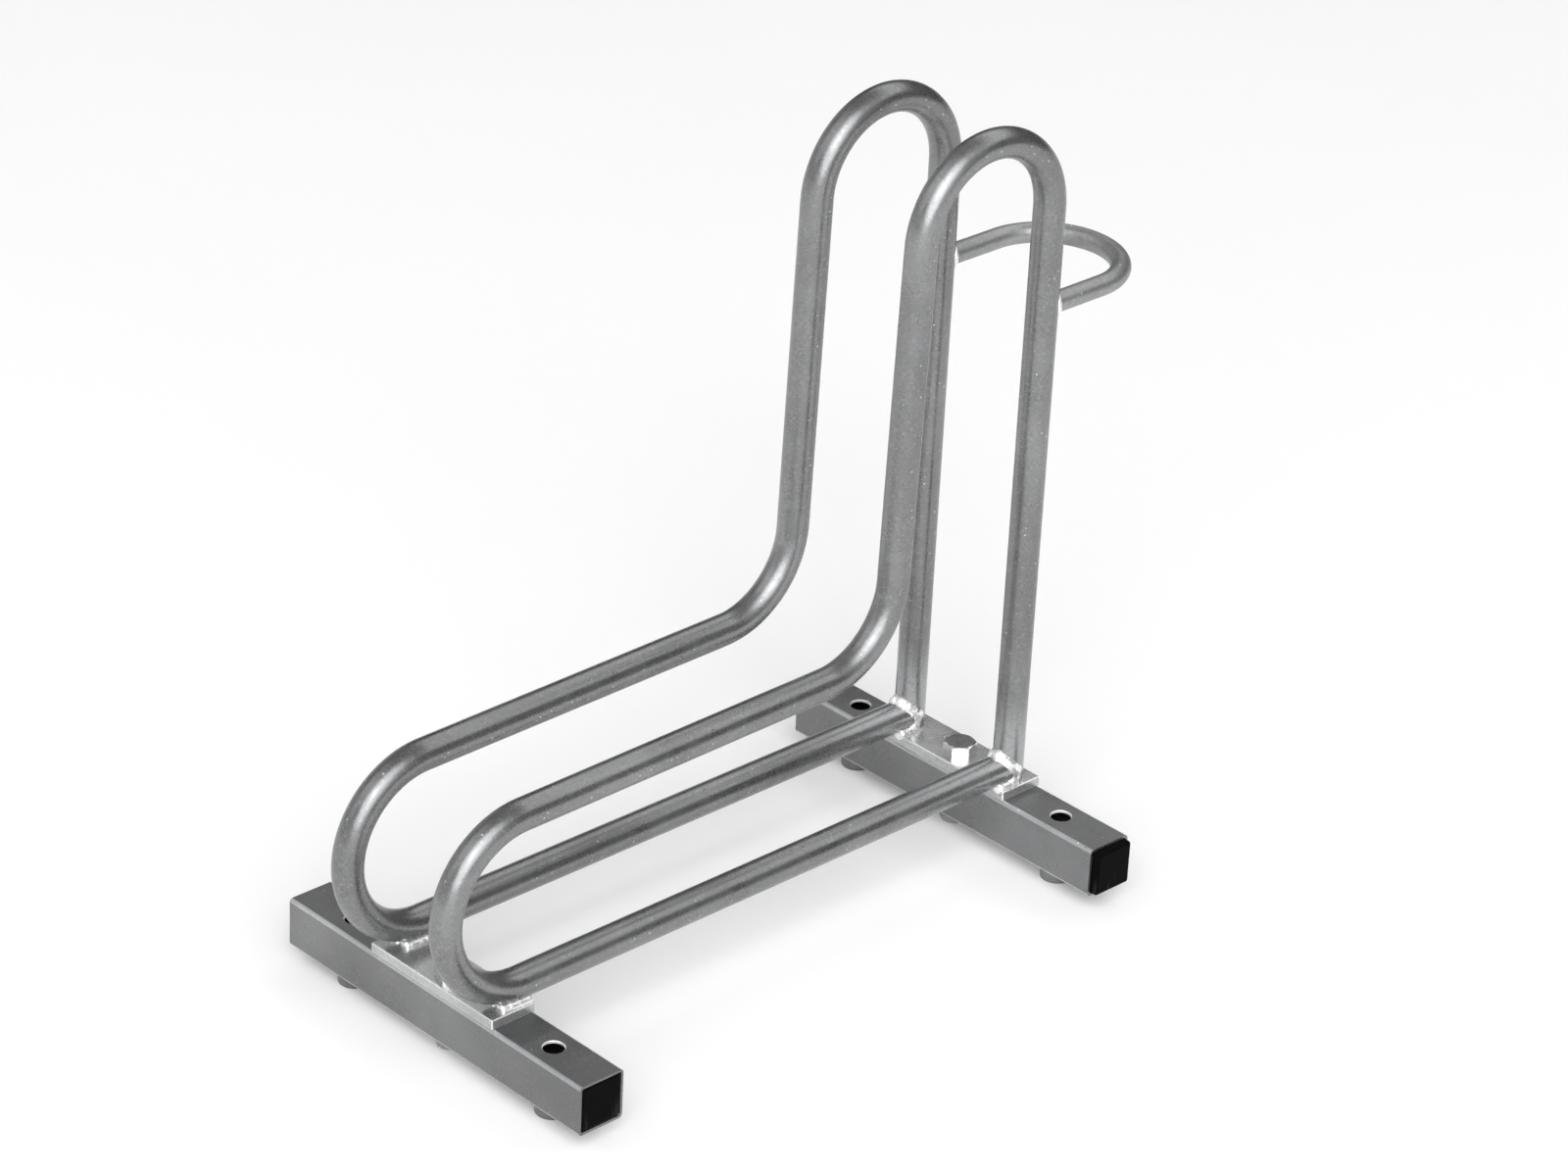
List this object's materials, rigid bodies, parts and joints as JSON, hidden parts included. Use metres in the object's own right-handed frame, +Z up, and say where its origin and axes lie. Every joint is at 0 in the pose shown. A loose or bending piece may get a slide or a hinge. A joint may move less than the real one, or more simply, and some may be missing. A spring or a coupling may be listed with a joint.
{
  "type": "bicycle rack",
  "caption": "Galvanised steel floor stand that holds a bicycle wheel between bent tube loops on bolted crossbars, with a lock hoop behind the wheel.",
  "frame": {"origin": "on the floor, midway between the clamp bolts: the centre of the pattern of fixing holes", "axes": "+X is the way the wheel rolls in, from the noses to the lock hoop; +Y is across the wheel, to the left of someone wheeling a bicycle in; +Z is up"},
  "size_m": [0.5174, 0.245, 0.4584],
  "materials": {
    "galvanised_tube": "satin zinc with fine mottling",
    "galvanised_bar": "satin zinc with fine mottling",
    "bright_zinc": "bright zinc plating",
    "weld_metal": "rippled bead, zinc coated",
    "black_plastic": "satin black"
  },
  "bodies": {
    "stand": {"right_wheel_loop": "galvanised_tube", "left_wheel_loop": "galvanised_tube", "lock_hoop": "galvanised_tube", "front_plate": "galvanised_bar", "rear_plate": "galvanised_bar", "front_bolt": "bright_zinc", "rear_bolt": "bright_zinc", "front_nut": "bright_zinc", "rear_nut": "bright_zinc", "right_leg_weld": "weld_metal", "left_leg_weld": "weld_metal", "right_nose_weld": "weld_metal", "left_nose_weld": "weld_metal", "hoop_welds": "weld_metal"},
    "front_base": {"front_crossbar": "galvanised_bar", "front_right_cap": "black_plastic", "front_left_cap": "black_plastic", "front_right_foot": "galvanised_bar", "front_left_foot": "galvanised_bar"},
    "rear_base": {"rear_crossbar": "galvanised_bar", "rear_right_cap": "black_plastic", "rear_left_cap": "black_plastic", "rear_right_foot": "galvanised_bar", "rear_left_foot": "galvanised_bar"}
  },
  "joints": [
    {"name": "front_bar_swivel", "type": "hinge", "parent": "stand", "child": "front_base", "pos_m": [-0.1895, 0, 0.0395], "axis": [0, 0, 1], "continuous": true},
    {"name": "rear_bar_swivel", "type": "hinge", "parent": "stand", "child": "rear_base", "pos_m": [0.1895, 0, 0.0395], "axis": [0, 0, 1], "continuous": true}
  ]
}
